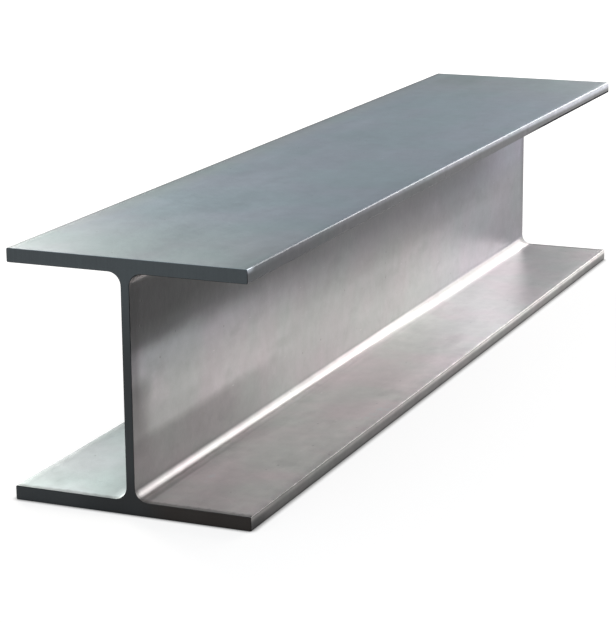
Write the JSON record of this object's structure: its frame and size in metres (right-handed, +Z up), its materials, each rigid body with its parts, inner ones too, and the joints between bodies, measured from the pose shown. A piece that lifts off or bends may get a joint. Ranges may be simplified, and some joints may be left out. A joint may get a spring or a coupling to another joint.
{
  "type": "steel h-beam",
  "caption": "Hot-rolled steel wide-flange H-beam with parallel flanges, a thin web and rounded roots, sawn square at its ends: structural stock for columns, frames and supports.",
  "frame": {"origin": "middle of the underside of the lower flange", "axes": "+X along the beam's length, +Y across the flanges, +Z up the web from the lower flange to the upper one"},
  "size_m": [1.2, 0.25, 0.25],
  "materials": {
    "rolled_steel": "satin hot-rolled steel with thin blue-grey mill scale, darker on the sawn ends"
  },
  "bodies": {
    "root": {"h_beam": "rolled_steel"}
  },
  "joints": []
}
